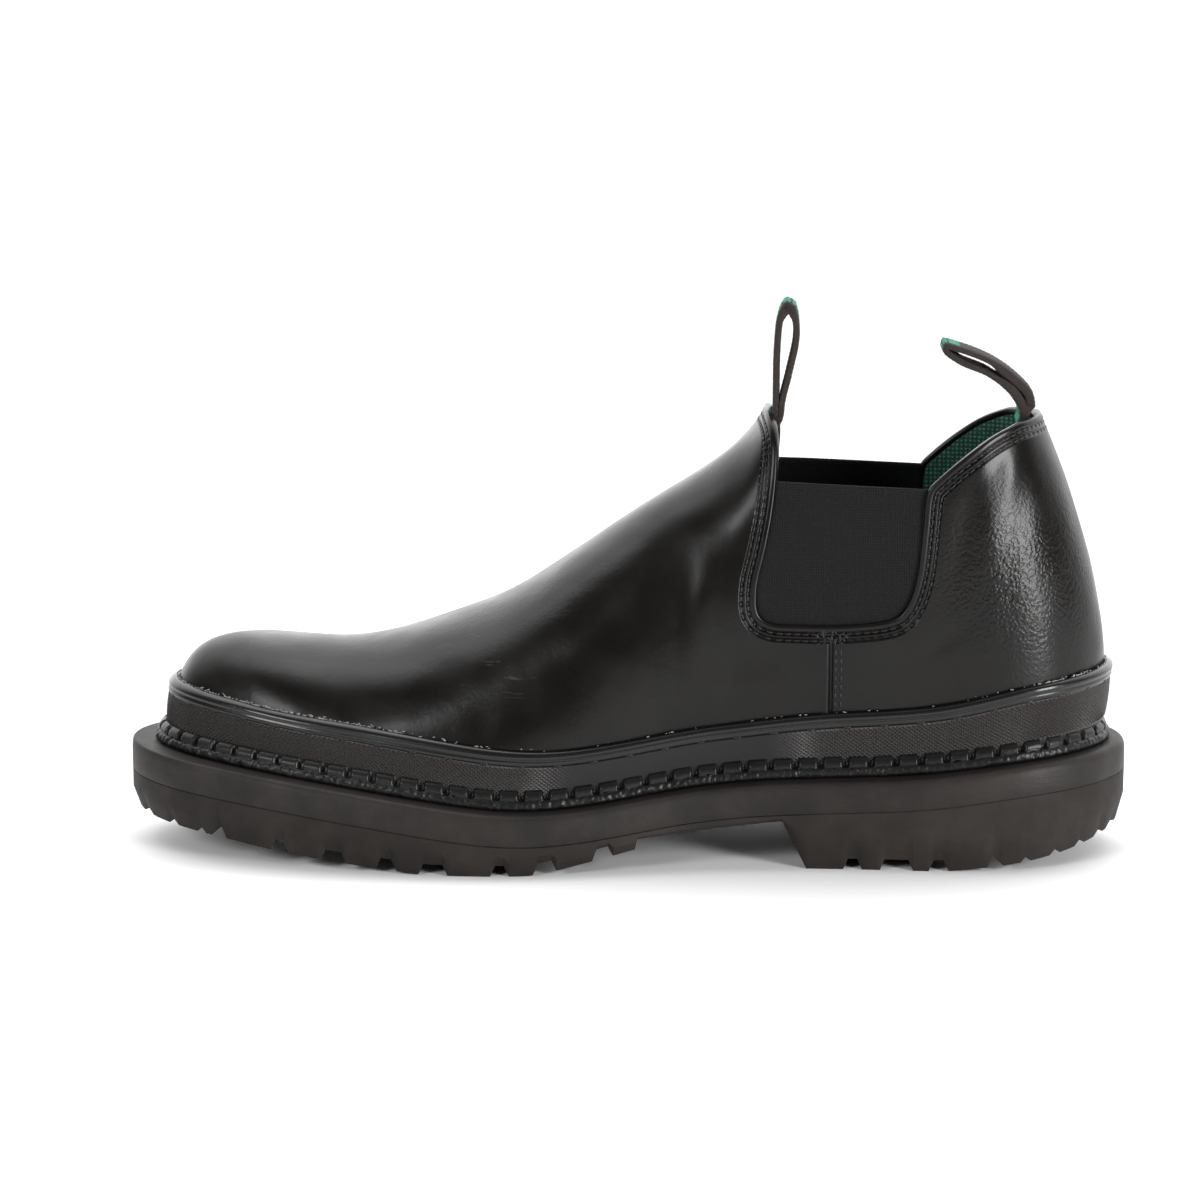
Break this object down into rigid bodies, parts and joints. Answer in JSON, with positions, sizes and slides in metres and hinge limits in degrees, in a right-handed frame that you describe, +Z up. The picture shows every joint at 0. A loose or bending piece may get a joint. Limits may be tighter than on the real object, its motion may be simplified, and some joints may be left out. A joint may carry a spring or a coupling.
{
  "type": "side gore work boot",
  "caption": "Ankle-high black leather pull-on work boot with elastic side gores, front and back pull loops, a textured rubber rand, a stitched welt and a lugged rubber sole.",
  "frame": {"origin": "on the floor below the middle of the boot's length and width", "axes": "+X from toe to heel, +Y to the lateral (outer) side, +Z up out of the collar"},
  "size_m": [0.3128, 0.1143, 0.1706],
  "materials": {
    "sole_rubber": "matte dark brown-grey moulded rubber",
    "midsole_rubber": "matte dark brown-grey moulded rubber",
    "welt_rubber": "matte rubber strip with stitch bars",
    "rand_rubber": "fine crosshatched rubber under a glossy bead",
    "black_leather": "smooth full-grain black leather, satin gloss",
    "gore_elastic": "ribbed black elastic webbing",
    "footbed_fabric": "dark green woven footbed cover",
    "loop_webbing": "brown-black woven webbing with a green stripe"
  },
  "bodies": {
    "root": {"outsole": "sole_rubber", "midsole": "midsole_rubber", "welt": "welt_rubber", "rand": "rand_rubber", "upper": "black_leather", "gore_medial": "gore_elastic", "gore_lateral": "gore_elastic", "insole": "footbed_fabric", "pull_loop_front": "loop_webbing", "pull_loop_back": "loop_webbing"}
  },
  "joints": []
}
